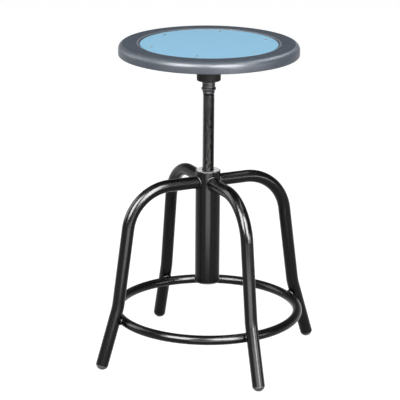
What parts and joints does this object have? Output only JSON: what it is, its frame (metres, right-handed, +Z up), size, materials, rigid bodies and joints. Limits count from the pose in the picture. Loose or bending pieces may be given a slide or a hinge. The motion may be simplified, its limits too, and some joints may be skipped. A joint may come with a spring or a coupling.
{
  "type": "swivel stool",
  "caption": "Screw-lift swivel stool with a round pressed-metal seat, threaded spindle, column, splayed bent-tube legs and foot ring.",
  "frame": {"origin": "on the floor, under the axis of the column, at the middle of the feet", "axes": "+Z up along the column and spindle; the legs stand on the diagonals between X and Y; the picture looks from the -Y side, turned 19 degrees towards +X"},
  "size_m": [0.3907, 0.3908, 0.653],
  "materials": {
    "black_coat": "gloss powder coat",
    "grey_coat": "satin metallic powder coat",
    "blue_panel": "fine matt texture",
    "white_nylon": "satin",
    "grey_plastic": "matt",
    "black_plastic": "matt",
    "oiled_steel": "turned and oiled",
    "plain_steel": "zinc plated"
  },
  "bodies": {
    "base": {"column_tube": "black_coat", "column_plug": "black_plastic", "spindle_nut": "plain_steel", "top_bush": "white_nylon", "leg_front_right": "black_coat", "leg_back_right": "black_coat", "leg_back_left": "black_coat", "leg_front_left": "black_coat", "foot_front_right": "grey_plastic", "foot_back_right": "grey_plastic", "foot_back_left": "grey_plastic", "foot_front_left": "grey_plastic", "foot_ring": "black_coat"},
    "guide": {"guide_washer": "white_nylon"},
    "seat": {"spindle": "oiled_steel", "stop_collar": "oiled_steel", "neck_sleeve": "oiled_steel", "stop_washer": "plain_steel", "stop_bolt": "plain_steel", "hub": "black_coat", "hub_washer": "plain_steel", "hub_nut": "plain_steel", "mounting_plate": "black_coat", "hub_gusset_right": "black_coat", "hub_gusset_back": "black_coat", "hub_gusset_left": "black_coat", "hub_gusset_front": "black_coat", "plate_studs": "plain_steel", "plate_nuts": "plain_steel", "seat_pan": "grey_coat", "seat_insert": "blue_panel"}
  },
  "joints": [
    {"name": "seat_lift", "type": "slide", "parent": "base", "child": "guide", "axis": [0, 0, 1], "range_m": [-0.164, 0.006]},
    {"name": "seat_turn", "type": "hinge", "parent": "guide", "child": "seat", "pos_m": [0, 0, 0.45], "axis": [0, 0, 1], "range_deg": [-13940, 505]}
  ],
  "couplings": [
    {"joint": "seat_lift", "follows": "seat_turn", "m_per_rad": 0.00067376}
  ]
}
